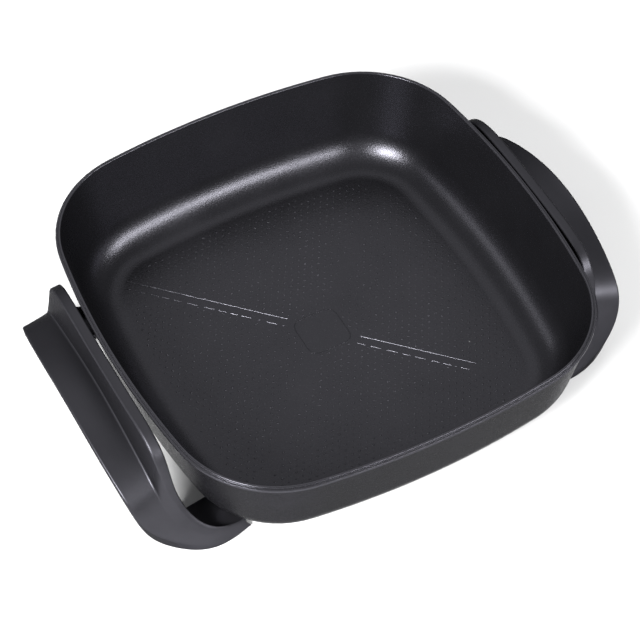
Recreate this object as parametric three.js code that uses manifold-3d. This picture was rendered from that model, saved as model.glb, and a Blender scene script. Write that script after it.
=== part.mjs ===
// Electric skillet: a deep rounded-square pan carried by two moulded handles with legs.
// Millimetres, +Z up. The origin is on the floor under the middle of the pan; X runs through
// the two handles and Y from the front to the back.
import * as THREE from "three";
import { mergeVertices } from "three/addons/utils/BufferGeometryUtils.js";
import Module from "manifold-3d";

const wasm = await Module();
wasm.setup();

// ---- driving dimensions ----
const RIM_HEIGHT = 88; // floor to the top of the rim
const HALF_WIDTH = 155; // pan's middle to the rim along X
const HALF_DEPTH = 158; // pan's middle to the rim along Y
const SIDE_RADIUS = 605; // bow of each side in plan
const CORNER_RADIUS = 76; // corners of the rim in plan
const WALL_SLOPE = 0.213; // how far the wall leans in per mm of depth
const WALL = 3.3; // thickness of wall and base
const FILLET = 31.6; // outer bend between wall and base
const PAN_DEPTH = 72.9; // rim to the underside of the base
const LIP = { height: 1.4, ledge: 1.5, band: 2.2, groove: 0.5 }; // stepped rim

const ELEMENT = { radius: 3.5, loop: 80, below: 4.1, lead: 9 }; // lead: half the gap between its ends
const CHANNEL = { width: 7.8, wall: 3.2, height: 6.8 }; // cast channel that holds the element
const PIN = { radius: 2.3, start: 116.6, end: 153 };
const BUSH = { outer: 3.5, inner: 2.7, start: 116.4, end: 121 };
const SLEEVE = { outer: 4.1, inner: 3.1, start: 98, end: 137, floor: 2 };
const GUARD = { back: 136.5, front: 155, half: 27, low: 3, high: 22.4, wall: 2.2 };
const EAR = { x: 127, y: 33.5, low: 8.5, high: 11.5, radius: 6 };
const EARTH = { x: 139.4, thick: 0.6, width: 8, low: 5.6, high: 7.2, length: 12 };

const LEG = { x: 118, y: 86, boss: 8, lugTop: 8.5, lugBottom: 3.5 }; // where each leg is screwed on
const SCREW = { shank: 2.1, head: 3.9, headHeight: 2.2, clearance: 2.5, seat: 4.8, seatDepth: 2.9 };
const WASHER = { outer: 4.3, thick: 0.7 };
const PAD = { x: 158, y: 90, radius: 4.6, height: 3, proud: 1.2 };
const GAP = 0.3; // between pieces that touch

const TOP = RIM_HEIGHT;
const UNDERSIDE = TOP - PAN_DEPTH;
const ELEMENT_Z = UNDERSIDE - ELEMENT.below;

// ---- solids ----
const v = (x, y, z) => new THREE.Vector3(x, y, z);

function solid(geometry) {
  const bare = geometry.clone();
  bare.deleteAttribute("normal");
  bare.deleteAttribute("uv");
  const merged = mergeVertices(bare, 1e-3);
  const triVerts = new Uint32Array(merged.index.array);
  const vertProperties = merged.attributes.position.array;
  return new wasm.Manifold(new wasm.Mesh({ numProp: 3, vertProperties, triVerts }));
}

function geometryOf(body) {
  const { vertProperties, triVerts } = body.getMesh();
  return new THREE.BufferGeometry()
    .setAttribute("position", new THREE.BufferAttribute(vertProperties, 3))
    .setIndex(new THREE.BufferAttribute(triVerts, 1));
}

const join = (...bodies) => bodies.reduce((a, b) => a.add(b));
const cut = (body, ...tools) => tools.reduce((a, b) => a.subtract(b), body);

// A closed skin over rings that have equally many points, with a fan across each end.
function skin(rings) {
  const count = rings[0].length;
  const points = rings.flat();
  const faces = [];
  for (let r = 0; r + 1 < rings.length; r++)
    for (let i = 0; i < count; i++) {
      const a = r * count + i;
      const b = r * count + ((i + 1) % count);
      faces.push([a, b, b + count], [a, b + count, a + count]);
    }
  const fan = (ring, start, turn) => {
    const middle = points.push(ring.reduce((sum, p) => sum.add(p), v(0, 0, 0)).divideScalar(count)) - 1;
    for (let i = 0; i < count; i++) {
      const edge = [start + i, start + ((i + 1) % count)];
      faces.push([middle, ...(turn ? edge : edge.reverse())]);
    }
  };
  fan(rings[0], 0, false);
  fan(rings.at(-1), (rings.length - 1) * count, true);
  const wedge = ([a, b, c]) => points[a].dot(v().crossVectors(points[b], points[c]));
  const volume = faces.reduce((sum, face) => sum + wedge(face), 0);
  const outward = volume > 0 ? faces : faces.map(([a, b, c]) => [a, c, b]);
  return solid(new THREE.BufferGeometry().setFromPoints(points).setIndex(outward.flat()));
}

// A round bar from one point to another.
function rod(radius, from, to, sides = 20) {
  const along = to.clone().sub(from);
  const geometry = new THREE.CylinderGeometry(radius, radius, along.length(), sides);
  const turn = new THREE.Quaternion().setFromUnitVectors(v(0, 1, 0), along.clone().normalize());
  geometry.applyQuaternion(turn);
  const middle = from.clone().add(to).multiplyScalar(0.5);
  return solid(geometry.translate(middle.x, middle.y, middle.z));
}

function block(low, high) {
  const size = high.clone().sub(low);
  const middle = low.clone().add(high).multiplyScalar(0.5);
  return solid(new THREE.BoxGeometry(size.x, size.y, size.z).translate(middle.x, middle.y, middle.z));
}

// A flat plate with a smooth or straight outline in plan.
function plate(outline, low, high) {
  const depth = high - low;
  const geometry = new THREE.ExtrudeGeometry(outline, { depth, bevelEnabled: false, curveSegments: 8 });
  return solid(geometry.translate(0, 0, low));
}

// ---- pan ----
const RING_STEPS = { side: 3, corner: 7 };

// Quarter outline made of two bowed sides and a tangent corner arc, then mirrored all round.
function panRing(inset, z) {
  const a = HALF_WIDTH - inset;
  const b = HALF_DEPTH - inset;
  const side = SIDE_RADIUS - inset;
  const corner = CORNER_RADIUS - inset;
  const across = Math.hypot(side - a, side - b);
  const reach = Math.sqrt((side - corner) ** 2 - (across / 2) ** 2);
  const cx = (a - side) / 2 + (reach * (side - b)) / across;
  const cy = (b - side) / 2 + (reach * (side - a)) / across;
  const first = Math.atan2(cy, cx + side - a);
  const last = Math.atan2(cy + side - b, cx);
  const quarter = [];
  for (let i = 0; i < RING_STEPS.side; i++) {
    const t = (first * i) / RING_STEPS.side;
    quarter.push([a - side + side * Math.cos(t), side * Math.sin(t)]);
  }
  for (let i = 0; i <= RING_STEPS.corner; i++) {
    const t = first + ((last - first) * i) / RING_STEPS.corner;
    quarter.push([cx + corner * Math.cos(t), cy + corner * Math.sin(t)]);
  }
  for (let i = 1; i < RING_STEPS.side; i++) {
    const t = last + ((Math.PI / 2 - last) * i) / RING_STEPS.side;
    quarter.push([side * Math.cos(t), b - side + side * Math.sin(t)]);
  }
  const half = [...quarter, [0, b], ...quarter.slice(1).reverse().map(([x, y]) => [-x, y])];
  const whole = [...half, [-a, 0], ...half.slice(1).reverse().map(([x, y]) => [x, -y])];
  return whole.map(([x, y]) => v(x, y, z));
}

const LEAN = Math.atan(WALL_SLOPE);
const BEND_HEIGHT = UNDERSIDE + FILLET; // height of the bend's centre
const BEND_TOP = BEND_HEIGHT - FILLET * Math.sin(LEAN);
const BEND_INSET = (TOP - BEND_TOP) * WALL_SLOPE + FILLET * Math.cos(LEAN);

// Rings down the bend from the wall to the flat base.
function bendRings(radius, steps = 6) {
  return Array.from({ length: steps + 1 }, (_, i) => {
    const t = LEAN + ((Math.PI / 2 - LEAN) * i) / steps;
    return panRing(BEND_INSET - radius * Math.cos(t), BEND_HEIGHT - radius * Math.sin(t));
  });
}

const LIP_BOTTOM = TOP - LIP.height - LIP.band;
const INNER = WALL / Math.cos(LEAN); // wall thickness measured level

function panOutside() {
  const grooveZ = LIP_BOTTOM - LIP.groove;
  const grooveInset = (TOP - grooveZ) * WALL_SLOPE + LIP.groove;
  return skin([
    panRing(LIP.ledge, TOP),
    panRing(LIP.ledge, TOP - LIP.height),
    panRing(0, TOP - LIP.height),
    panRing(0, LIP_BOTTOM),
    panRing(grooveInset, grooveZ),
    ...bendRings(FILLET),
  ]);
}

function panInside() {
  const above = 5;
  const mouth = panRing(INNER - above * WALL_SLOPE, TOP + above);
  return skin([mouth, ...bendRings(FILLET - WALL)]);
}

// Plan of the element's loop: two parallel leads that open out into a ring.
function loopPath(z) {
  const quarterTurn = Math.PI / 2;
  const half = [
    v(PIN.start - 0.6, ELEMENT.lead, z),
    v(104, ELEMENT.lead, z),
    v(92, ELEMENT.lead + 2, z),
    v(83, ELEMENT.lead + 12, z),
  ];
  const ring = [0.42, 0.7, 1, 1.35, 1.7].map((turn) =>
    v(ELEMENT.loop * Math.cos(turn * quarterTurn), ELEMENT.loop * Math.sin(turn * quarterTurn), z),
  );
  const oneSide = [...half, ...ring];
  const otherSide = oneSide.map((p) => v(p.x, -p.y, p.z)).reverse();
  return new THREE.CatmullRomCurve3([...oneSide, v(-ELEMENT.loop, 0, z), ...otherSide]);
}

function alongLoop(section, z, steps = 44) {
  return solid(new THREE.ExtrudeGeometry(section, { steps, extrudePath: loopPath(z), curveSegments: 4 }));
}

function bar(width, height) {
  const [w, h] = [width / 2, height / 2];
  return new THREE.Shape([
    new THREE.Vector2(-h, -w),
    new THREE.Vector2(h, -w),
    new THREE.Vector2(h, w),
    new THREE.Vector2(-h, w),
  ]);
}

const corners = [
  ["front_left", -1, -1],
  ["front_right", 1, -1],
  ["back_left", -1, 1],
  ["back_right", 1, 1],
];
const ends = [
  ["front", -1],
  ["back", 1],
];

function pan() {
  const { width, wall, height } = CHANNEL;
  const overlap = 0.6;
  const ribZ = UNDERSIDE + overlap - height / 2;
  const rib = alongLoop(bar(width + 2 * wall, height), ribZ);
  const slot = alongLoop(bar(width, height), ribZ - overlap - 0.2);
  const bosses = [];
  const holes = [];
  // A boss that runs up into the bend, with a blind hole for a screw.
  const boss = (x, y, radius, foot, height, holeTop) => {
    bosses.push(rod(radius, v(x, y, foot), v(x, y, UNDERSIDE + height), 24));
    holes.push(rod(SCREW.clearance, v(x, y, foot - 1), v(x, y, UNDERSIDE + holeTop), 16));
  };
  for (const [, sx, sy] of corners) boss(sx * LEG.x, sy * LEG.y, LEG.boss, LEG.lugTop + GAP, 9, 0.4);
  for (const [, sy] of ends) boss(EAR.x, sy * EAR.y, EAR.radius - 0.5, EAR.high + GAP, 7, 1.2);
  const saddle = block(v(SLEEVE.start - 3, -6.5, UNDERSIDE - 5), v(PIN.start - 3, 6.5, UNDERSIDE + 0.6));
  const sleeveRoom = rod(
    SLEEVE.outer + GAP,
    v(SLEEVE.start - GAP, 0, ELEMENT_Z),
    v(PIN.start, 0, ELEMENT_Z),
  );
  const blank = join(panOutside(), ...bosses, rib, saddle);
  return cut(blank, panInside(), slot, sleeveRoom, ...holes);
}

// ---- element, pins and socket ----
function circle(radius, sides) {
  const points = Array.from({ length: sides }, (_, i) => {
    const t = (2 * Math.PI * i) / sides;
    return new THREE.Vector2(radius * Math.cos(t), radius * Math.sin(t));
  });
  return new THREE.Shape(points);
}

const alongX = (radius, from, to, y, sides) => rod(radius, v(from, y, ELEMENT_Z), v(to, y, ELEMENT_Z), sides);

function bush(y) {
  return cut(
    alongX(BUSH.outer, BUSH.start, BUSH.end, y),
    alongX(BUSH.inner, BUSH.start + 1.2 - GAP, BUSH.end + 1, y, 16),
    alongX(1.2, BUSH.start - 1, BUSH.start + 2, y, 12),
  );
}

function terminalPin(y) {
  const start = BUSH.start + 1.2;
  const body = alongX(PIN.radius, start, PIN.end - 1.5, y, 16);
  const nose = alongX(PIN.radius * 0.7, start, PIN.end, y, 16);
  return join(body, nose);
}

function sensorSleeve() {
  const { outer, inner, start, end, floor } = SLEEVE;
  return cut(alongX(outer, start, end, 0), alongX(inner, start + floor, end + 1, 0));
}

function probeGuard() {
  const { back, front, half, low, high, wall } = GUARD;
  const shell = block(v(back, -half, low), v(front, half, high));
  const room = block(v(back + wall, wall - half, low + wall), v(front + 1, half - wall, high - wall));
  const windows = [
    ...ends.map(([, sy]) => alongX(PIN.radius + 0.8, back - 1, back + wall + 1, sy * ELEMENT.lead, 16)),
    alongX(SLEEVE.outer + 0.5, back - 1, back + wall + 1, 0),
  ];
  const ears = ends.map(([, sy]) => {
    const pad = rod(EAR.radius, v(EAR.x, sy * EAR.y, EAR.low), v(EAR.x, sy * EAR.y, EAR.high), 24);
    const inner = sy * (EAR.y - EAR.radius - 4);
    const outer = sy * (EAR.y + 2);
    const arm = block(
      v(EAR.x, Math.min(inner, outer), EAR.low),
      v(back + wall, Math.max(inner, outer), EAR.high),
    );
    return join(pad, arm);
  });
  const screwHoles = ends.map(([, sy]) =>
    rod(SCREW.clearance, v(EAR.x, sy * EAR.y, EAR.low - 1), v(EAR.x, sy * EAR.y, EAR.high + 1), 16),
  );
  return cut(join(cut(shell, room), ...ears), ...windows, ...screwHoles);
}

function earthClip() {
  const { x, thick, width, low, high, length } = EARTH;
  const floorStrip = block(v(x, -width / 2, low), v(x + length, width / 2, low + thick));
  const upright = block(v(x, -width / 2, low), v(x + thick, width / 2, high));
  return join(floorStrip, upright);
}

// ---- handles ----
// Eight lines run the length of each handle, from the middle of its arch to the tip of one leg.
// Each has a point at the same ten stations: x out from the pan's middle, y along the handle and
// the depth below the rim. The front half mirrors the back half, but for the reach of its foot.
const FLOOR = RIM_HEIGHT - PAD.proud; // depth of the legs' undersides
const HANDLE_LINES = {
  guardInner: [
    [156, 0, 2.2], [155.9, 30, 2.2], [155.4, 55, 2.4], [154.6, 71.5, 6.5], [154, 80.5, 15],
    [153.4, 85.5, 29], [152.4, 90.5, 47], [144.4, 100, 65], [131.2, 103.6, 74], [113, 102, 80],
  ],
  guardOuter: [
    [163.6, 0, 2.6], [163.5, 30, 2.6], [162.9, 55, 2.8], [162.1, 71.5, 7.3], [161.4, 80.9, 16.5],
    [159.2, 86, 30.5], [156, 91.5, 49], [146.4, 101.8, 66.5], [131.8, 105.4, 75.3], [112.8, 103, 81],
  ],
  crease: [
    [164.8, 0, 23.5], [164.7, 30, 26.5], [164.4, 55, 31.5], [164, 72, 36], [163.6, 80.9, 40.5],
    [163, 87, 48.5], [161, 92.5, 58], [149.4, 103.6, 71.5], [132.6, 107.6, 78.6], [112.2, 104, 83],
  ],
  gripTop: [
    [189.3, 0, 20.5], [188.7, 30, 24.5], [187.1, 56, 32.5], [184.7, 75.5, 40.8], [183, 83.3, 47],
    [180, 88.3, 58.5], [174.8, 92, 71.5], [153.5, 104, 80], [135, 110.4, 83.6], [110.6, 104.6, 84.8],
  ],
  gripBottom: [
    [189.1, 0, 25.5], [188.5, 30, 29.5], [186.7, 56, 37.6], [184.2, 75, 46.5], [181.8, 82.4, 55.5],
    [177.5, 87, 70], [170.6, 90, FLOOR], [155.5, 102.5, FLOOR], [136.5, 111.3, FLOOR], [109.5, 105.2, FLOOR],
  ],
  archInner: [
    [161, 0, 31], [160.8, 30, 34], [160.6, 55, 42], [160.2, 68, 51], [159.8, 75, 63],
    [159.2, 79.4, 75], [158, 83.4, FLOOR], [149.5, 98, FLOOR], [133, 107.5, FLOOR], [110.6, 104, FLOOR],
  ],
  skirtOuter: [
    [161, 0, 44], [160.8, 27, 44.6], [160.2, 50, 59], [159.6, 63, 62.5], [159, 70.4, 68.5],
    [158, 76, 78.5], [155, 81.4, FLOOR], [146.4, 98, FLOOR], [132, 105.6, FLOOR], [111.2, 103.2, FLOOR],
  ],
  skirtInner: [
    [156.4, 0, 44], [156, 27, 44.6], [155, 50, 59], [154.2, 63, 62.5], [153.6, 70.2, 68.5],
    [153, 75.6, 78.5], [152, 80.6, FLOOR], [144, 98.4, FLOOR], [131.4, 103.8, FLOOR], [112.2, 102.4, FLOOR],
  ],
};
const STEPS_PER_STATION = 2;

// The two feet of a handle differ: one reaches further along Y than its lines say, the other less.
// Each station takes a share of that reach.
const FOOT_REACH = { front: -5.2, back: 4.5 };
const REACH_SHARES = [0, 0, 0, 0, 0, 0, 0, 0.5, 1, 0.3];

// Plan of the plate inside each leg that is screwed to the pan: x, y and share of the foot's reach.
const LUG_OUTLINE = [
  [153.4, 81, 0], [151, 88.5, 0.2], [145, 98, 0.5], [132, 104, 1], [114, 102.8, 0.4],
  [107, 97, 0.2], [107, 82, 0], [111, 76.5, 0], [124, 76.5, 0], [146, 79.5, 0],
];

function handleLine(stations) {
  const half = (sy, reach) =>
    stations.map(([x, y, depth], i) => v(x, sy * (y + reach * REACH_SHARES[i]), TOP - depth));
  const front = half(-1, FOOT_REACH.front).slice(1).reverse();
  return new THREE.CatmullRomCurve3([...front, ...half(1, FOOT_REACH.back)]);
}

function handle() {
  const lines = Object.values(HANDLE_LINES).map(handleLine);
  const steps = (lines[0].points.length - 1) * STEPS_PER_STATION;
  const rings = Array.from({ length: steps + 1 }, (_, i) => lines.map((line) => line.getPoint(i / steps)));
  const lugs = ends.map(([end, sy]) => {
    const reach = FOOT_REACH[end];
    const outline = LUG_OUTLINE.map(([x, y, share]) => new THREE.Vector2(x, sy * (y + reach * share)));
    return plate(new THREE.Shape(outline), LEG.lugBottom, LEG.lugTop);
  });
  const holes = ends.flatMap(([, sy]) => [
    rod(SCREW.clearance, v(LEG.x, sy * LEG.y, 0), v(LEG.x, sy * LEG.y, LEG.lugTop + 1), 16),
    rod(SCREW.seat, v(LEG.x, sy * LEG.y, 0), v(LEG.x, sy * LEG.y, LEG.lugBottom + SCREW.seatDepth)),
    rod(PAD.radius + GAP, v(PAD.x, sy * PAD.y, 0), v(PAD.x, sy * PAD.y, PAD.height + GAP)),
  ]);
  return cut(join(skin(rings), ...lugs), ...holes);
}

// ---- fasteners and feet ----
// A round-headed screw standing on its head: the head's top face is at z = seat.
function screw(x, y, seat, length) {
  const head = rod(SCREW.head, v(x, y, seat - SCREW.headHeight), v(x, y, seat));
  const shank = rod(SCREW.shank, v(x, y, seat - 1), v(x, y, seat + length), 16);
  const slot = block(v(x - 3, y - 0.5, seat - SCREW.headHeight - 1), v(x + 3, y + 0.5, seat - 1.3));
  return cut(join(head, shank), slot);
}

function washer(x, y, top) {
  return cut(
    rod(WASHER.outer, v(x, y, top - WASHER.thick), v(x, y, top)),
    rod(SCREW.clearance, v(x, y, top - 2), v(x, y, top + 1), 16),
  );
}

function footPad(x, y) {
  const base = rod(PAD.radius - 0.5, v(x, y, 0), v(x, y, 1));
  return join(base, rod(PAD.radius, v(x, y, 0.5), v(x, y, PAD.height)));
}

// ---- materials ----
const finish = (color, roughness, metalness = 0) =>
  new THREE.MeshStandardMaterial({ color, roughness, metalness });
const coated = finish("#2b2b2e", 0.42, 0.25);
const phenolic = finish("#252629", 0.45);
const steel = finish("#a9abad", 0.35, 1);
const sheath = finish("#6e6a64", 0.5, 0.9);
const ceramic = finish("#e8e2d3", 0.6);
const brass = finish("#c9a45c", 0.35, 1);
const rubber = finish("#1a1a1a", 0.9);

// ---- assembly ----
const skillet = new THREE.Group();
function place(name, body, material) {
  const mesh = new THREE.Mesh(geometryOf(body), material.clone());
  mesh.name = name;
  skillet.add(mesh);
  return mesh;
}

place("pan", pan(), coated);
const moulding = handle();
place("right_handle", moulding, phenolic);
place("left_handle", moulding, phenolic).rotation.z = Math.PI;

place("heating_element", alongLoop(circle(ELEMENT.radius, 8), ELEMENT_Z), sheath);
for (const [end, sy] of ends) {
  place("ceramic_bush_" + end, bush(sy * ELEMENT.lead), ceramic);
  place("terminal_pin_" + end, terminalPin(sy * ELEMENT.lead), steel);
  place("guard_screw_" + end, screw(EAR.x, sy * EAR.y, EAR.low - GAP, 6.5), steel);
}
place("sensor_sleeve", sensorSleeve(), brass);
place("probe_guard", probeGuard(), phenolic);
place("earth_clip", earthClip(), steel);

for (const [corner, sx, sy] of corners) {
  const seat = LEG.lugBottom + SCREW.seatDepth - GAP;
  place("leg_washer_" + corner, washer(sx * LEG.x, sy * LEG.y, seat), steel);
  place("leg_screw_" + corner, screw(sx * LEG.x, sy * LEG.y, seat - WASHER.thick - GAP, 9), steel);
  place("foot_pad_" + corner, footPad(sx * PAD.x, sy * PAD.y), rubber);
}

export default skillet;
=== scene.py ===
"""Electric skillet: a deep rounded-square pan carried by two moulded handles with legs.

The CAD frame is in metres, with its origin on the floor under the middle of the pan. Shapes
below are written in millimetres and scaled by MM where a mesh is made.
"""

import math
import random
import bpy
import numpy as np
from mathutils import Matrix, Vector


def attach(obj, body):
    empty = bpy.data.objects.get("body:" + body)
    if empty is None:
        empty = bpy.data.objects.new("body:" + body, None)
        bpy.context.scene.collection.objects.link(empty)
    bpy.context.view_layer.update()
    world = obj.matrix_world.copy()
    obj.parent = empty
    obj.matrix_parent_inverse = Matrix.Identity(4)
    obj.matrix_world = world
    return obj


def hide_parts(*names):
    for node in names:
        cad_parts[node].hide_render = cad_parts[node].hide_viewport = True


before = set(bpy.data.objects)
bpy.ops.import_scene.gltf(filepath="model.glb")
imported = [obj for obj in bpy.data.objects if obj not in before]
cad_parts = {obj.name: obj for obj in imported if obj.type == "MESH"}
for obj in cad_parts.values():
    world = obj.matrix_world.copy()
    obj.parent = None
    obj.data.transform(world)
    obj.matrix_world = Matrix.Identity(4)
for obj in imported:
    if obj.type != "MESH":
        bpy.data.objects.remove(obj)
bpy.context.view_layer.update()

MM = 0.001

# ---- the object's dimensions, in millimetres ----
RIM = 88.0
HALF_WIDTH, HALF_DEPTH = 155.0, 158.0
SIDE_RADIUS, CORNER_RADIUS = 605.0, 76.0
SIDE_STEPS, CORNER_STEPS, BEND_STEPS = 14, 16, 18
WALL_SLOPE = 0.213
WALL = 3.3
FILLET = 31.6
DEPTH = 72.9  # rim to the underside of the pan
UNDERSIDE = RIM - DEPTH
BASE = UNDERSIDE + WALL
SUNK = 0.05  # how far a raised mark reaches into the surface it stands on
LEAN = math.atan(WALL_SLOPE)
LIP_HEIGHT, LIP_LEDGE, LIP_BAND, LIP_GROOVE = 1.4, 1.5, 2.2, 0.5
BEND_HEIGHT = UNDERSIDE + FILLET
BEND_TOP = BEND_HEIGHT - FILLET * math.sin(LEAN)
BEND_INSET = (RIM - BEND_TOP) * WALL_SLOPE + FILLET * math.cos(LEAN)
ELEMENT_RADIUS, ELEMENT_LOOP, ELEMENT_Z = 3.5, 80.0, UNDERSIDE - 4.1
ELEMENT_REACH, ELEMENT_LEAD, ELEMENT_STEPS = 116.0, 9.0, 150
CHANNEL_HALF, CHANNEL_SLOT, CHANNEL_DROP = 7.1, 3.9, 6.2
SADDLE_HALF, SADDLE_DROP, SADDLE_START, SADDLE_LENGTH = 6.5, 5.0, 95.0, 18.6
OVERLAP = 0.5  # how far a part cast under the pan reaches into its skin
LEG_X, LEG_Y, LEG_BOSS = 118.0, 86.0, 8.0
EAR_X, EAR_Y, EAR_RADIUS, EAR_FOOT = 127.0, 33.5, 5.5, 11.8
PILOT_RADIUS = 2.5  # screw hole in a boss
HEAD_RADIUS, HEAD_DEPTH = 4.8, 2.9  # recess for a screw head in a leg's plate
PLATE_EDGE = 0.4
LUG_LOW, LUG_HIGH = 3.5, 8.5
FLOOR_DEPTH = 86.8  # rim to the underside of a leg

rng = random.Random(7)


# ---- mesh helpers ----
def new_mesh(name, parts, materials):
    """One object from (vertices in mm, faces, material number) parts, shaded smooth."""
    vertices, faces, slots = [], [], []
    for points, polygons, slot in parts:
        start = len(vertices)
        vertices += [tuple(MM * c for c in p) for p in points]
        faces += [tuple(start + i for i in f) for f in polygons]
        slots += [slot] * len(polygons)
    mesh = bpy.data.meshes.new(name)
    mesh.from_pydata(vertices, [], faces)
    for m in materials:
        mesh.materials.append(m)
    mesh.polygons.foreach_set("material_index", slots)
    mesh.polygons.foreach_set("use_smooth", [True] * len(faces))
    mesh.update()
    obj = bpy.data.objects.new(name, mesh)
    bpy.context.scene.collection.objects.link(obj)
    return obj


def weighted(obj):
    """Normals follow the large faces, so flats stay flat between their rounded edges."""
    obj.modifiers.new("normals", "WEIGHTED_NORMAL").keep_sharp = True
    return obj


def skin(rings, slot=0, closed=False):
    """Quads over rings of equally many points, facing out, with a fan over each open end."""
    rings = np.asarray(rings, float)
    count, around = rings.shape[:2]
    points = [tuple(p) for p in rings.reshape(-1, 3)]
    faces = []
    for r in range(count if closed else count - 1):
        a, b = r * around, ((r + 1) % count) * around
        for i in range(around):
            j = (i + 1) % around
            faces.append((a + i, a + j, b + j, b + i))
    if not closed:
        for ring, start, turn in ((rings[0], 0, True), (rings[-1], (count - 1) * around, False)):
            points.append(tuple(ring.mean(axis=0)))
            middle = len(points) - 1
            for i in range(around):
                edge = (start + i, start + (i + 1) % around)
                faces.append((middle, *(reversed(edge) if turn else edge)))
    flat = np.array(points)
    volume = 0.0
    for f in faces:
        for k in range(1, len(f) - 1):
            volume += np.dot(flat[f[0]], np.cross(flat[f[k]], flat[f[k + 1]]))
    if volume < 0:
        faces = [tuple(reversed(f)) for f in faces]
    return points, faces, slot


def soften(corners, radii, steps=4, closed=True):
    """A polyline with each corner turned into a short curve of about that radius."""
    most = 0.42  # share of a side that one corner's curve may take
    points = [np.asarray(p, float) for p in corners]
    out = []
    last = len(points) - 1
    for i, (p, radius) in enumerate(zip(points, radii)):
        if not closed and i in (0, last):
            out.append(p)
            continue
        before, after = points[i - 1], points[(i + 1) % len(points)]
        to_before, to_after = before - p, after - p
        length_before = max(np.linalg.norm(to_before), 1e-9)
        length_after = max(np.linalg.norm(to_after), 1e-9)
        reach_before = min(radius, most * length_before)
        reach_after = min(radius, most * length_after)
        start = p + to_before / length_before * reach_before
        end = p + to_after / length_after * reach_after
        for k in range(steps + 1):
            t = k / steps
            out.append((1 - t) ** 2 * start + 2 * t * (1 - t) * p + t * t * end)
    return out


def smooth_line(points, count):
    """Centripetal Catmull-Rom curve through points, with count + 1 samples."""
    pts = [np.asarray(p, float) for p in points]
    pts = [2 * pts[0] - pts[1], *pts, 2 * pts[-1] - pts[-2]]
    spans = len(pts) - 3
    out = []
    for i in range(count + 1):
        at = i / count * spans
        k = min(int(at), spans - 1)
        w = at - k
        p0, p1, p2, p3 = pts[k : k + 4]
        gaps = (p1 - p0, p2 - p1, p3 - p2)
        d0, d1, d2 = (max(np.linalg.norm(gap), 1e-8) ** 0.5 for gap in gaps)
        t1 = ((p1 - p0) / d0 - (p2 - p0) / (d0 + d1) + (p2 - p1) / d1) * d1
        t2 = ((p2 - p1) / d1 - (p3 - p1) / (d1 + d2) + (p3 - p2) / d2) * d1
        c2 = 3 * (p2 - p1) - 2 * t1 - t2
        c3 = 2 * (p1 - p2) + t1 + t2
        out.append(p1 + t1 * w + c2 * w * w + c3 * w**3)
    return out


def lathe(profile, x, y, slot=0, around=32):
    """A closed turned form about a vertical axis; profile is (radius, z) round its section."""
    rings = []
    for i in range(around):
        t = 2 * math.pi * i / around
        rings.append([(x + r * math.cos(t), y + r * math.sin(t), z) for r, z in profile])
    return skin(rings, slot, closed=True)


def sweep(path, section, slot=0):
    """section is (sideways, up) points carried along a level path."""
    path = np.asarray(path, float)
    ahead = np.gradient(path, axis=0)
    ahead /= np.linalg.norm(ahead, axis=1)[:, None]
    rings = []
    for p, d in zip(path, ahead):
        side = np.array([-d[1], d[0], 0.0])
        rings.append([p + side * a + np.array([0, 0, b]) for a, b in section])
    return skin(rings, slot)


def dome(x, y, z, length, width, height, angle=0.0, slot=0, around=8):
    """A low raised bead on a level surface, closed underneath."""
    c, s = math.cos(angle), math.sin(angle)
    rings = []
    for reach, rise in ((1.0, -SUNK), (0.86, 0.45), (0.52, 0.86), (0.12, 1.0)):
        ring = []
        for i in range(around):
            t = 2 * math.pi * i / around
            a, b = 0.5 * length * reach * math.cos(t), 0.5 * width * reach * math.sin(t)
            ring.append((x + a * c - b * s, y + a * s + b * c, z + rise * height))
        rings.append(ring)
    points = [p for ring in rings for p in ring]
    faces = [tuple(reversed(range(around)))]
    for r in range(len(rings) - 1):
        for i in range(around):
            j = (i + 1) % around
            low, high = r * around, (r + 1) * around
            faces.append((low + i, low + j, high + j, high + i))
    faces.append(tuple(range((len(rings) - 1) * around, len(rings) * around)))
    return points, faces, slot


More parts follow.
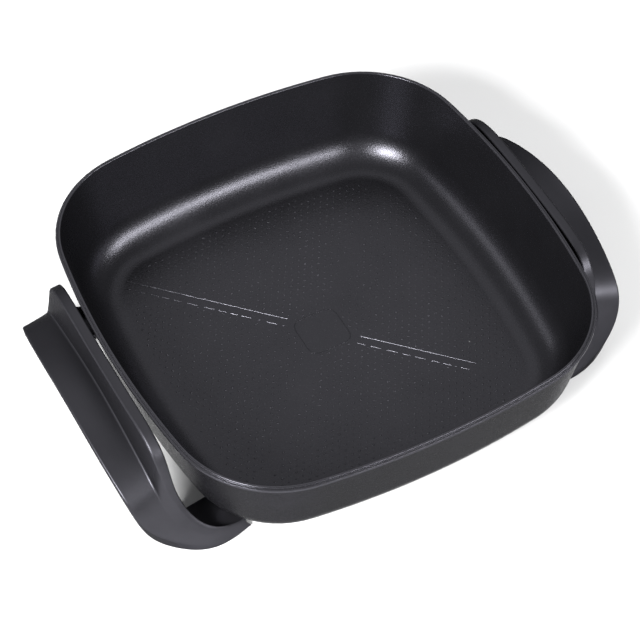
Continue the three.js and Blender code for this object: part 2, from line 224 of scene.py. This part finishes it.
# ---- materials ----
class Surface:
    """A node material with one Principled shader and object-space textures."""

    def __init__(self, name):
        self.material = bpy.data.materials.new(name)
        self.material.use_nodes = True
        self.tree = self.material.node_tree
        self.shader = self.tree.nodes["Principled BSDF"]
        self.place = self.tree.nodes.new("ShaderNodeTexCoord").outputs["Object"]

    def node(self, kind, inputs=(), **settings):
        made = self.tree.nodes.new("ShaderNode" + kind)
        for key, value in settings.items():
            setattr(made, key, value)
        for key, value in dict(inputs).items():
            self.put(made.inputs[key], value)
        return made

    def put(self, socket, value):
        if isinstance(value, bpy.types.NodeSocket):
            self.tree.links.new(value, socket)
        else:
            socket.default_value = value

    def set(self, **values):
        for key, value in values.items():
            self.put(self.shader.inputs[key.replace("_", " ")], value)

    def stretched(self, scale):
        return self.node("Mapping", {"Vector": self.place, "Scale": scale}).outputs["Vector"]

    def noise(self, scale, detail=4.0, rough=0.55, vector=None):
        place = vector or self.place
        values = {"Vector": place, "Scale": scale, "Detail": detail, "Roughness": rough}
        return self.node("TexNoise", values).outputs["Fac"]

    def span(self, value, low, high, to_low=0.0, to_high=1.0):
        values = {"Value": value, "From Min": low, "From Max": high}
        values.update({"To Min": to_low, "To Max": to_high})
        return self.node("MapRange", values).outputs["Result"]

    def math(self, operation, a, b=0.0):
        made = self.node("Math", operation=operation)
        self.put(made.inputs[0], a)
        self.put(made.inputs[1], b)
        return made.outputs["Value"]

    def mix(self, share, a, b):
        made = self.node("Mix", data_type="RGBA")
        self.put(made.inputs["Factor"], share)
        self.put(made.inputs[6], a)
        self.put(made.inputs[7], b)
        return made.outputs[2]

    def bump(self, *layers):
        """layers are (height, distance in metres, strength), the broadest first."""
        normal = None
        for height, distance, strength in layers:
            made = self.node("Bump", {"Height": height, "Distance": distance, "Strength": strength})
            if normal is not None:
                self.put(made.inputs["Normal"], normal)
            normal = made.outputs["Normal"]
        self.set(Normal=normal)

    def grains(self, scale, chance, size):
        """Scattered small dots: 1 inside a dot and 0 elsewhere."""
        cells = self.node("TexVoronoi", {"Vector": self.place, "Scale": scale})
        lot = self.node("SeparateColor", {"Color": cells.outputs["Color"]}).outputs[0]
        picked = self.math("GREATER_THAN", lot, 1 - chance)
        inside = self.span(cells.outputs["Distance"], size, size * 0.6)
        return self.math("MULTIPLY", picked, inside)


def grey(level):
    return (level, level, level, 1.0)


# How much the dark finishes shine edge-on. They are set mostly metallic so that it can be low.
DARK_METALLIC = 0.85
COATING_GRAZE = (0.38, 0.38, 0.39, 1.0)
OUTSIDE_GRAZE = (0.22, 0.22, 0.225, 1.0)
MOULDING_GRAZE = (0.2, 0.2, 0.21, 1.0)


def tinted(level):
    """The faintly blue black of the coating and the mouldings."""
    return (level, 0.985 * level, 1.13 * level, 1.0)


def coating(name, dark, light, rough, grain=1.0, brushed=0.0, graze=COATING_GRAZE):
    """Dark non-stick coating: satin, with fine flakes and a slight orange-peel skin."""
    s = Surface(name)
    broad = s.noise(22.0, 5.0)
    fine = s.noise(850.0, 3.0, 0.7)
    peel = s.noise(420.0, 2.0)
    flakes = s.grains(1500.0, 0.12, 0.3)
    dust = s.grains(60.0, 0.02, 0.028)
    base = s.mix(s.span(broad, 0.3, 0.7), tinted(dark), tinted(light))
    base = s.mix(flakes, base, tinted(1.9 * light))
    base = s.mix(dust, base, grey(0.4))
    spread = s.span(fine, 0.3, 0.7, rough - 0.05, rough + 0.06)
    s.set(Base_Color=base, Roughness=s.math("ADD", spread, s.span(broad, 0.3, 0.7, -0.03, 0.03)))
    s.set(Metallic=DARK_METALLIC, Specular_Tint=graze)
    layers = [(peel, 0.00004, 0.5 * grain), (fine, 0.00012, 0.8 * grain)]
    if brushed:
        lines = s.noise(60.0, 6.0, 0.7, s.stretched((1.0, 1.0, 60.0)))
        layers.insert(0, (lines, 0.00005, brushed))
    s.bump(*layers)
    return s.material


def moulded():
    """Dark phenolic: satin, very finely grained, with faint flow marks and a little dust."""
    s = Surface("phenolic")
    broad = s.noise(14.0, 4.0)
    flow = s.noise(30.0, 5.0, 0.6, s.stretched((1.0, 0.25, 1.4)))
    fine = s.noise(2100.0, 3.0, 0.6)
    dust = s.grains(75.0, 0.03, 0.035)
    base = s.mix(s.span(flow, 0.3, 0.7), tinted(0.034), tinted(0.044))
    base = s.mix(dust, base, grey(0.35))
    spread = s.span(fine, 0.3, 0.7, 0.36, 0.46)
    s.set(Base_Color=base, Roughness=s.math("ADD", spread, s.span(broad, 0.3, 0.7, -0.03, 0.04)))
    s.set(Metallic=DARK_METALLIC, Specular_Tint=MOULDING_GRAZE)
    s.bump((broad, 0.0006, 0.12), (fine, 0.00003, 0.55))
    return s.material


def metal(name, dark, light, rough):
    """Bare metal with fine upright scratches."""
    s = Surface(name)
    broad = s.noise(70.0, 4.0)
    lines = s.noise(260.0, 5.0, 0.7, s.stretched((1.0, 1.0, 30.0)))
    s.set(Base_Color=s.mix(s.span(broad, 0.3, 0.7), dark, light), Metallic=1.0)
    s.set(Roughness=s.span(lines, 0.3, 0.7, rough - 0.08, rough + 0.1))
    s.bump((lines, 0.00003, 0.5))
    return s.material


def heated_sheath():
    """Metal sheath with straw and blue-grey heat colours in slow bands."""
    s = Surface("element_sheath")
    bands = s.noise(18.0, 3.0)
    scale = s.noise(500.0, 4.0)
    warm = s.mix(s.span(bands, 0.35, 0.5), (0.16, 0.13, 0.1, 1), (0.11, 0.1, 0.11, 1))
    s.set(Base_Color=s.mix(s.span(bands, 0.5, 0.68), warm, (0.2, 0.2, 0.22, 1)), Metallic=0.85)
    s.set(Roughness=s.span(scale, 0.3, 0.7, 0.42, 0.62))
    s.bump((scale, 0.00006, 0.5))
    return s.material


def glazed():
    """Cream ceramic with a few brown specks."""
    s = Surface("ceramic")
    broad = s.noise(300.0, 3.0)
    grains = s.grains(900.0, 0.1, 0.35)
    base = s.mix(s.span(broad, 0.3, 0.7), (0.7, 0.66, 0.56, 1), (0.8, 0.77, 0.69, 1))
    s.set(Base_Color=s.mix(grains, base, (0.45, 0.4, 0.32, 1)))
    s.set(Roughness=s.span(broad, 0.3, 0.7, 0.5, 0.62))
    s.bump((broad, 0.00005, 0.4))
    return s.material


def soft_rubber():
    """Matt black rubber."""
    s = Surface("rubber")
    fine = s.noise(1300.0, 4.0)
    broad = s.noise(120.0, 3.0)
    s.set(Base_Color=s.mix(s.span(broad, 0.3, 0.7), grey(0.012), grey(0.024)))
    s.set(Roughness=s.span(fine, 0.3, 0.7, 0.75, 0.92))
    s.bump((fine, 0.00006, 0.6))
    return s.material


def studio_floor():
    s = Surface("studio_floor")
    broad = s.noise(3.0, 3.0)
    s.set(Base_Color=s.mix(s.span(broad, 0.3, 0.7), grey(0.67), grey(0.69)), Roughness=0.9)
    s.set(Specular_IOR_Level=0.1)
    return s.material


inside_coat = coating("coating_inside", 0.031, 0.036, 0.27)
outside_coat = coating("coating_outside", 0.034, 0.041, 0.28, brushed=0.4, graze=OUTSIDE_GRAZE)
rim_coat = coating("coating_rim", 0.042, 0.052, 0.22, grain=0.06)
# The ribs get a lighter copy of the coating, a painted highlight, so that they look as if they catch the
# light.
rib_coat_painted_highlight = coating("coating_ribs_painted_highlight", 0.07, 0.13, 0.3, grain=0.2)
# The dots get a lighter copy of the coating, painted glints, so that they show bright even where the walls
# shade them from the lamps.
dot_coat_painted_glint = coating("coating_dots_painted_glint", 0.044, 0.068, 0.26)
phenolic = moulded()
steel = metal("steel", grey(0.48), grey(0.6), 0.3)
brass = metal("brass", (0.55, 0.38, 0.14, 1), (0.68, 0.5, 0.2, 1), 0.3)
sheath = heated_sheath()
ceramic = glazed()
rubber = soft_rubber()


# ---- pan ----
INSIDE, OUTSIDE, RIB, DOT, RIM_FINISH = range(5)  # the pan's material numbers


def corner_centre(a, b, side, corner):
    """Middle of the arc that joins the two bowed sides of one quarter."""
    across = math.hypot(side - a, side - b)
    reach = math.sqrt((side - corner) ** 2 - (across / 2) ** 2)
    cx = (a - side) / 2 + reach * (side - b) / across
    cy = (b - side) / 2 + reach * (side - a) / across
    return cx, cy


def pan_ring(inset, z):
    """Two bowed sides and a tangent corner arc, mirrored all round."""
    a, b = HALF_WIDTH - inset, HALF_DEPTH - inset
    side, corner = SIDE_RADIUS - inset, CORNER_RADIUS - inset
    cx, cy = corner_centre(a, b, side, corner)
    first, last = math.atan2(cy, cx + side - a), math.atan2(cy + side - b, cx)
    quarter = []
    for i in range(SIDE_STEPS):
        t = first * i / SIDE_STEPS
        quarter.append((a - side + side * math.cos(t), side * math.sin(t)))
    for i in range(CORNER_STEPS + 1):
        t = first + (last - first) * i / CORNER_STEPS
        quarter.append((cx + corner * math.cos(t), cy + corner * math.sin(t)))
    for i in range(1, SIDE_STEPS):
        t = last + (math.pi / 2 - last) * i / SIDE_STEPS
        quarter.append((side * math.cos(t), b - side + side * math.sin(t)))
    half = quarter + [(0, b)] + [(-x, y) for x, y in reversed(quarter[1:])]
    whole = half + [(-a, 0)] + [(x, -y) for x, y in reversed(half[1:])]
    return [(x, y, z) for x, y in whole]


def bend(radius, down):
    """(inset, z) round the bend between wall and base, from the wall down or back up."""
    out = []
    for i in range(BEND_STEPS + 1):
        t = LEAN + (math.pi / 2 - LEAN) * i / BEND_STEPS
        out.append((BEND_INSET - radius * math.cos(t), BEND_HEIGHT - radius * math.sin(t)))
    return out if down else out[::-1]


def flat_disc(inset, z, outward):
    """Rings that fill the level middle of the base."""
    shares = (0.02, 0.25, 0.5, 0.75)
    edge = pan_ring(inset, z)
    rings = [[(x * f, y * f, z) for x, y, z in edge] for f in shares]
    return rings if outward else rings[::-1]


def pan_shell():
    """The bowl and its rim in three bands: inside, outside and rim."""
    inner_wall = WALL / math.cos(LEAN)
    groove_z = RIM - LIP_HEIGHT - LIP_BAND - LIP_GROOVE
    groove_inset = (RIM - groove_z) * WALL_SLOPE + LIP_GROOVE
    inner_bend = bend(FILLET - WALL, down=False)
    outer_bend = bend(FILLET, down=True)
    edge = [
        (inner_bend[-1], 0.0),
        ((inner_wall, RIM), 0.55),
        ((LIP_LEDGE, RIM), 0.95),
        ((LIP_LEDGE, RIM - LIP_HEIGHT), 0.35),
        ((0.0, RIM - LIP_HEIGHT), 0.3),
        ((0.0, RIM - LIP_HEIGHT - LIP_BAND), 0.5),
        ((groove_inset, groove_z), 0.4),
        (outer_bend[0], 0.0),
    ]
    rim_line = soften([p for p, _ in edge], [r for _, r in edge], steps=3, closed=False)
    inside = inner_bend[:-1] + [tuple(p) for p in rim_line[:1]]
    rest = [tuple(p) for p in rim_line[1:]] + outer_bend[1:]
    rings = flat_disc(BEND_INSET, BASE, outward=True)
    rings += [pan_ring(inset, z) for inset, z in inside]
    inside_count = len(rings)
    rings += [pan_ring(inset, z) for inset, z in rest]
    rings += flat_disc(BEND_INSET, UNDERSIDE, outward=False)
    points, faces, _ = skin(rings)
    around = len(rings[0])
    rim_end = inside_count + len(rim_line) - 3
    bands = {INSIDE: [], OUTSIDE: [], RIM_FINISH: []}
    for f in faces:
        ring = min(f) // around
        bands[INSIDE if ring < inside_count else RIM_FINISH if ring < rim_end else OUTSIDE].append(f)
    return [(points, band, slot) for slot, band in bands.items()]


def element_path(z):
    """One open loop: in from the right, round the base and out again."""
    lead = ELEMENT_LEAD
    half = [(ELEMENT_REACH, lead, z), (104, lead, z), (92, lead + 2, z), (83, lead + 12, z)]
    for turn in (0.42, 0.7, 1.0, 1.35, 1.7):
        t = turn * math.pi / 2
        half.append((ELEMENT_LOOP * math.cos(t), ELEMENT_LOOP * math.sin(t), z))
    back = [(x, -y, z) for x, y, z in reversed(half)]
    return smooth_line(half + [(-ELEMENT_LOOP, 0, z)] + back, ELEMENT_STEPS)


def skin_height(x, y):
    """Height of the pan's outer skin under the bend, above a point in plan."""
    x, y = abs(x), abs(y)
    cx, cy = corner_centre(HALF_WIDTH, HALF_DEPTH, SIDE_RADIUS, CORNER_RADIUS)
    back = SIDE_RADIUS - HALF_WIDTH
    if math.atan2(y, x + back) < math.atan2(cy, cx + back):
        inset = SIDE_RADIUS - math.hypot(x + back, y)
    else:
        inset = CORNER_RADIUS - math.hypot(x - cx, y - cy)
    if inset >= BEND_INSET:
        return UNDERSIDE
    return BEND_HEIGHT - math.sqrt(FILLET**2 - (BEND_INSET - inset) ** 2)


def boss(x, y, radius, foot):
    """A drilled screw boss whose upper end follows the skin it grows from."""
    outline = [(PILOT_RADIUS, RIM), (PILOT_RADIUS, foot), (radius, foot), (radius, RIM)]
    points, faces, slot = lathe(soften(outline, [0.1, 0.4, 0.7, 0.1], 3), x, y, OUTSIDE)
    reach_in = 0.8
    points = [(px, py, min(pz, skin_height(px, py) + reach_in)) for px, py, pz in points]
    return points, faces, slot


def underside_parts():
    """Channel for the element, screw bosses and the saddle of the sensor sleeve."""
    high, low = UNDERSIDE + OVERLAP, UNDERSIDE - CHANNEL_DROP
    wide, gap, roof = CHANNEL_HALF, CHANNEL_SLOT, high - 0.8
    outline = [(-wide, high), (-wide, low), (-gap, low), (-gap, roof)]
    outline += [(-x, z) for x, z in reversed(outline)]
    section = soften(outline, [0.1, 0.7, 0.5, 0.1, 0.1, 0.5, 0.7, 0.1], 3)
    parts = [sweep(element_path(0.0), section, OUTSIDE)]
    for sy in (-1, 1):
        parts.append(boss(EAR_X, sy * EAR_Y, EAR_RADIUS, EAR_FOOT))
        for sx in (-1, 1):
            parts.append(boss(sx * LEG_X, sy * LEG_Y, LEG_BOSS, LUG_HIGH + 0.3))
    wide, low = SADDLE_HALF, UNDERSIDE - SADDLE_DROP
    outline = [(-wide, high), (-wide, low), (wide, low), (wide, high)]
    saddle = soften(outline, [0.1, 1.2, 1.2, 0.1], 3)
    path = [(SADDLE_START + SADDLE_LENGTH * i / 4, 0, 0) for i in range(5)]
    parts.append(sweep(path, saddle, OUTSIDE))
    return parts


FIELD_INSET = 44.0  # inset of the patterned field from the rim
FIELD_HALF = 118  # half the square that holds the whole field
STRIP_HALF = 3.2  # half the width of each plain diagonal strip
STRIP_END = 100.0  # how far out the lines of the strip reach, along x and along y
SHORT_SHARE = 0.7  # how much of that the front right lines cover
PANEL_HALF = 16.0  # half the plain square in the middle
PANEL_CORNER = 8
DOT_PITCH = 5.2
DOT_LENGTH, DOT_WIDTH, DOT_HEIGHT = 1.75, 1.35, 0.22
DOT_SHIFT, DOT_TURN = 0.12, 0.2  # how unevenly the dots are set
LINE_WIDTH, LINE_HEIGHT = 0.62, 0.34
DASH_WIDTH, DASH_HEIGHT = 0.6, 0.32
DASH_LENGTHS = (2.2, 3.6, 5.4, 7.5)
BORDER_WIDTH, BORDER_HEIGHT = 0.7, 0.16


def rib_line(path, width, height, slot):
    """A low rounded rib along a level path."""
    crown, shoulder = (0.0, height), 0.7 * height
    section = [(-0.5 * width, -SUNK), (-0.32 * width, shoulder), crown]
    section += [(0.32 * width, shoulder), (0.5 * width, -SUNK)]
    return sweep(path, section, slot)


def dot_field():
    """Raised dots in staggered rows, clear of the plain strips and the plain panel."""
    field = np.array(pan_ring(FIELD_INSET, 0.0))[:, :2]
    limit = np.degrees(np.arctan2(field[:, 1], field[:, 0]))
    order = np.argsort(limit)
    angles, reaches = limit[order], np.hypot(*field.T)[order]
    row_gap = DOT_PITCH * math.sqrt(3) / 2
    rows = int(FIELD_HALF / row_gap)
    columns = int(FIELD_HALF / DOT_PITCH)
    strip, panel = STRIP_HALF + 0.9, PANEL_HALF + 1.2
    parts = []
    for r in range(-rows, rows + 1):
        for c in range(-columns, columns + 1):
            x = (c + 0.5 * (r % 2)) * DOT_PITCH + rng.uniform(-DOT_SHIFT, DOT_SHIFT)
            y = r * row_gap + rng.uniform(-DOT_SHIFT, DOT_SHIFT)
            angle = math.degrees(math.atan2(y, x))
            if math.hypot(x, y) > np.interp(angle, angles, reaches, period=360):
                continue
            if min(abs(x + y), abs(x - y)) / math.sqrt(2) < strip:
                continue
            if max(abs(x), abs(y)) < panel:
                continue
            size = rng.uniform(0.74, 1.14)
            turn = rng.uniform(-DOT_TURN, DOT_TURN)
            sizes = (DOT_LENGTH * size, DOT_WIDTH * size, DOT_HEIGHT * size)
            parts.append(dome(x, y, BASE, *sizes, turn, slot=DOT))
    return parts


def strip_lines():
    """A whole line and a broken line along one diagonal, on both sides of the panel."""
    along = np.array([1.0, -1.0, 0.0]) / math.sqrt(2)
    across = np.array([1.0, 1.0, 0.0]) / math.sqrt(2)
    level = np.array([0.0, 0.0, BASE])
    start = (PANEL_HALF + 2.2) * math.sqrt(2)
    parts = []
    for sign, share in ((-1, 1.0), (1, SHORT_SHARE)):
        end = start + (STRIP_END * math.sqrt(2) - start) * share
        steps = np.linspace(start, end, 12)
        line = [level + across * STRIP_HALF + along * sign * d for d in steps]
        parts.append(rib_line(line, LINE_WIDTH, LINE_HEIGHT, RIB))
        at = start
        while at < end - 3:
            stop = min(at + rng.choice(DASH_LENGTHS), end)
            steps = np.linspace(at, stop, 3)
            line = [level - across * STRIP_HALF + along * sign * d for d in steps]
            parts.append(rib_line(line, DASH_WIDTH, DASH_HEIGHT, RIB))
            at = stop + rng.uniform(2.0, 4.6)
    return parts


def middle_panel():
    """The plain plate in the middle, with a low border."""
    half = PANEL_HALF
    corners = [(half, -half, 0), (half, half, 0), (-half, half, 0), (-half, -half, 0)]
    panel = soften(corners, [PANEL_CORNER] * 4, PANEL_CORNER)
    rises = ((1.0, -SUNK), (0.975, 0.03), (0.93, 0.07), (0.5, 0.07), (0.02, 0.07))
    plate = [[(p[0] * f, p[1] * f, BASE + h) for p in panel] for f, h in rises]
    border = [np.array(p) * 0.985 + (0.0, 0.0, BASE) for p in panel + panel[:1]]
    return [skin(plate, INSIDE), rib_line(border, BORDER_WIDTH, BORDER_HEIGHT, INSIDE)]


pan_parts = pan_shell() + underside_parts() + dot_field() + strip_lines() + middle_panel()
pan_finishes = [inside_coat, outside_coat, rib_coat_painted_highlight, dot_coat_painted_glint, rim_coat]
pan = new_mesh("skillet_pan", pan_parts, pan_finishes)
weighted(pan)
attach(pan, "root")
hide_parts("pan")

# ---- handles ----
# Eight lines along a handle from the middle of its arch to the tip of one leg: x out, y along
# and depth below the rim at ten stations, with the radius of the moulded edge on each line.
HANDLE_LINES = [
    (1.7, [(156, 0, 2.2), (155.9, 30, 2.2), (155.4, 55, 2.4), (154.6, 71.5, 6.5), (154, 80.5, 15),
           (153.4, 85.5, 29), (152.4, 90.5, 47), (144.4, 100, 65), (131.2, 103.6, 74), (113, 102, 80)]),
    (1.7, [(163.6, 0, 2.6), (163.5, 30, 2.6), (162.9, 55, 2.8), (162.1, 71.5, 7.3), (161.4, 80.9, 16.5),
           (159.2, 86, 30.5), (156, 91.5, 49), (146.4, 101.8, 66.5), (131.8, 105.4, 75.3), (112.8, 103, 81)]),
    (1.6, [(164.8, 0, 23.5), (164.7, 30, 26.5), (164.4, 55, 31.5), (164, 72, 36), (163.6, 80.9, 40.5),
           (163, 87, 48.5), (161, 92.5, 58), (149.4, 103.6, 71.5), (132.6, 107.6, 78.6), (112.2, 104, 83)]),
    (1.5, [(189.3, 0, 20.5), (188.7, 30, 24.5), (187.1, 56, 32.5), (184.7, 75.5, 40.8), (183, 83.3, 47),
           (180, 88.3, 58.5), (174.8, 92, 71.5), (153.5, 104, 80), (135, 110.4, 83.6), (110.6, 104.6, 84.8)]),
    (1.4, [(189.1, 0, 25.5), (188.5, 30, 29.5), (186.7, 56, 37.6), (184.2, 75, 46.5), (181.8, 82.4, 55.5),
           (177.5, 87, 70), (170.6, 90, FLOOR_DEPTH), (155.5, 102.5, FLOOR_DEPTH), (136.5, 111.3, FLOOR_DEPTH),
           (109.5, 105.2, FLOOR_DEPTH)]),
    (2.4, [(161, 0, 31), (160.8, 30, 34), (160.6, 55, 42), (160.2, 68, 51), (159.8, 75, 63),
           (159.2, 79.4, 75), (158, 83.4, FLOOR_DEPTH), (149.5, 98, FLOOR_DEPTH), (133, 107.5, FLOOR_DEPTH),
           (110.6, 104, FLOOR_DEPTH)]),
    (0.9, [(161, 0, 44), (160.8, 27, 44.6), (160.2, 50, 59), (159.6, 63, 62.5), (159, 70.4, 68.5),
           (158, 76, 78.5), (155, 81.4, FLOOR_DEPTH), (146.4, 98, FLOOR_DEPTH), (132, 105.6, FLOOR_DEPTH),
           (111.2, 103.2, FLOOR_DEPTH)]),
    (0.9, [(156.4, 0, 44), (156, 27, 44.6), (155, 50, 59), (154.2, 63, 62.5), (153.6, 70.2, 68.5),
           (153, 75.6, 78.5), (152, 80.6, FLOOR_DEPTH), (144, 98.4, FLOOR_DEPTH), (131.4, 103.8, FLOOR_DEPTH),
           (112.2, 102.4, FLOOR_DEPTH)]),
]
STATION_STEPS = 9
FOOT_REACH = {-1: -5.2, 1: 4.5}  # how far each leg's foot is moved along y
REACH_SHARES = [0, 0, 0, 0, 0, 0, 0, 0.5, 1, 0.3]
LUG_CORNER = 2.0
# Corners of the plate inside a leg: x, y and their share of the foot's reach.
LUG_OUTLINE = [(153.4, 81, 0), (151, 88.5, 0.2), (145, 98, 0.5), (132, 104, 1), (114, 102.8, 0.4),
               (107, 97, 0.2), (107, 82, 0), (111, 76.5, 0), (124, 76.5, 0), (146, 79.5, 0)]


def eased(line, passes=3, reach=5):
    """The line with its tight turns relaxed; its ends stay where they are."""
    points = np.array(line)
    for _ in range(passes):
        before = 2 * points[0] - points[reach:0:-1]
        after = 2 * points[-1] - points[-2 : -reach - 2 : -1]
        padded = np.concatenate([before, points, after])
        points = np.mean([padded[i : i + len(points)] for i in range(2 * reach + 1)], axis=0)
    return points


def moved(points, shares, sy):
    """(x, y, ...) points on one side of the arch, with the foot's own reach added."""
    reach = FOOT_REACH[sy]
    return [(x, sy * (y + reach * share), *rest) for (x, y, *rest), share in zip(points, shares)]


def handle_line(stations):
    """One line of the handle, from the tip of the leg at low y to the other leg's tip."""
    points = [(x, y, RIM - d) for x, y, d in stations]
    front, back = moved(points, REACH_SHARES, -1), moved(points, REACH_SHARES, 1)
    count = 2 * (len(stations) - 1) * STATION_STEPS
    return eased(smooth_line(front[:0:-1] + back, count))


def handle_parts(turn):
    """The moulding, and a plate inside each leg; turn is 1 on the right and -1 on the left."""
    lines = [handle_line(stations) for _, stations in HANDLE_LINES]
    radii = [radius for radius, _ in HANDLE_LINES]
    rings = [soften(section, radii) for section in zip(*lines)]
    rings = [[(x, y, max(z, RIM - FLOOR_DEPTH)) for x, y, z in ring] for ring in rings]
    parts = [skin(rings)]
    corners = [(x, y, 0) for x, y, _ in LUG_OUTLINE]
    shares = [share for _, _, share in LUG_OUTLINE]
    for sy in (-1, 1):
        outline = soften(moved(corners, shares, sy), [LUG_CORNER] * len(corners))
        parts.append(drilled_plate(outline, sy))
    return [([(turn * x, turn * y, z) for x, y, z in points], faces, slot)
            for points, faces, slot in parts]


def drilled_plate(outline, sy):
    """A flat plate with a stepped screw hole, as rings from the hole out to the edge and back."""
    edge = np.array(outline)
    hole = np.array([LEG_X, sy * LEG_Y, 0.0])
    out = edge - hole
    out /= np.linalg.norm(out, axis=1)[:, None]
    up = np.array([0, 0, 1.0])
    step = LUG_LOW + HEAD_DEPTH
    rings = [
        hole + out * HEAD_RADIUS + up * LUG_LOW,
        edge - out * PLATE_EDGE + up * LUG_LOW,
        edge + up * (LUG_LOW + PLATE_EDGE),
        edge + up * (LUG_HIGH - PLATE_EDGE),
        edge - out * PLATE_EDGE + up * LUG_HIGH,
        hole + out * PILOT_RADIUS + up * LUG_HIGH,
        hole + out * PILOT_RADIUS + up * step,
        hole + out * HEAD_RADIUS + up * step,
    ]
    return skin(rings, closed=True)


for name, turn in (("right_handle", 1), ("left_handle", -1)):
    handle = new_mesh(name + "_moulding", handle_parts(turn), [phenolic])
    weighted(handle)
    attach(handle, "root")
    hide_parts(name)

# ---- heating element ----
turns = np.linspace(0, 2 * math.pi, 25)[:-1]
circle = [(ELEMENT_RADIUS * math.cos(t), ELEMENT_RADIUS * math.sin(t)) for t in turns]
element = new_mesh("element_tube", [sweep(element_path(ELEMENT_Z), circle)], [sheath])
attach(element, "root")
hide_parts("heating_element")

# ---- fittings kept from the frame, in its own shapes ----
# Name or start of the name, finish and material slot.
FITTINGS = [
    ("ceramic_bush", ceramic, "ceramic"),
    ("terminal_pin", steel, "steel"),
    ("guard_screw", steel, "steel"),
    ("leg_screw", steel, "steel"),
    ("leg_washer", steel, "steel"),
    ("sensor_sleeve", brass, "brass"),
    ("probe_guard", phenolic, "phenolic"),
    ("earth_clip", steel, "steel"),
    ("foot_pad", rubber, "rubber"),
]
for prefix, surface, slot in FITTINGS:
    for name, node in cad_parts.items():
        if name.startswith(prefix):
            node.data.materials.clear()
            node.data.materials.append(surface)

# ---- floor, light and camera ----
FLOOR_HALF = 6.0
floor_corners = [(sx * FLOOR_HALF, sy * FLOOR_HALF, 0) for sx, sy in ((-1, -1), (1, -1), (1, 1), (-1, 1))]
floor_mesh = bpy.data.meshes.new("studio_floor")
floor_mesh.from_pydata(floor_corners, [], [(0, 1, 2, 3)])
floor_mesh.materials.append(studio_floor())
floor = bpy.data.objects.new("studio_floor", floor_mesh)
bpy.context.scene.collection.objects.link(floor)

world = bpy.data.worlds.new("studio")
world.use_nodes = True
room = world.node_tree.nodes["Background"]
room.inputs["Color"].default_value = (0.97, 0.98, 1.0, 1.0)
room.inputs["Strength"].default_value = 0.28
bpy.context.scene.world = world


MIDDLE = Vector((0, 0, 0.05))  # what the lights face


def softbox(name, towards, distance, width, height, watts):
    """A rectangular light in direction towards, facing the middle of the pan."""
    data = bpy.data.lights.new(name, "AREA")
    data.shape = "RECTANGLE"
    data.size, data.size_y = width, height
    data.energy = watts
    light = bpy.data.objects.new(name, data)
    direction = Vector(towards).normalized()
    light.location = MIDDLE + direction * distance
    light.rotation_mode = "QUATERNION"
    light.rotation_quaternion = direction.to_track_quat("Z", "Y")
    bpy.context.scene.collection.objects.link(light)


softbox("left_softbox", (-0.72, -0.37, 0.6), 2.2, 0.75, 0.65, 128)
softbox("right_strip", (0.42, -0.68, 0.53), 2.2, 1.9, 0.45, 74)
softbox("back_panel", (0.25, 0.5, 0.8), 2.6, 2.0, 2.0, 10)
softbox("low_left_panel", (-0.77, 0.56, 0.36), 2.4, 1.1, 0.5, 6)

CAMERA_PLACE = Vector((-0.4794, -0.8863, 1.2904))
CAMERA_AIM = Vector((-0.0145, -0.0235, 0.0649))
camera_data = bpy.data.cameras.new("camera")
camera_data.sensor_width = 36.0
camera_data.lens = 134.8
camera_data.clip_start, camera_data.clip_end = 0.05, 50.0
camera = bpy.data.objects.new("camera", camera_data)
camera.location = CAMERA_PLACE
camera.rotation_mode = "QUATERNION"
camera.rotation_quaternion = (CAMERA_AIM - CAMERA_PLACE).to_track_quat("-Z", "Y")
bpy.context.scene.collection.objects.link(camera)
bpy.context.scene.camera = camera
bpy.context.scene.view_settings.view_transform = "Standard"
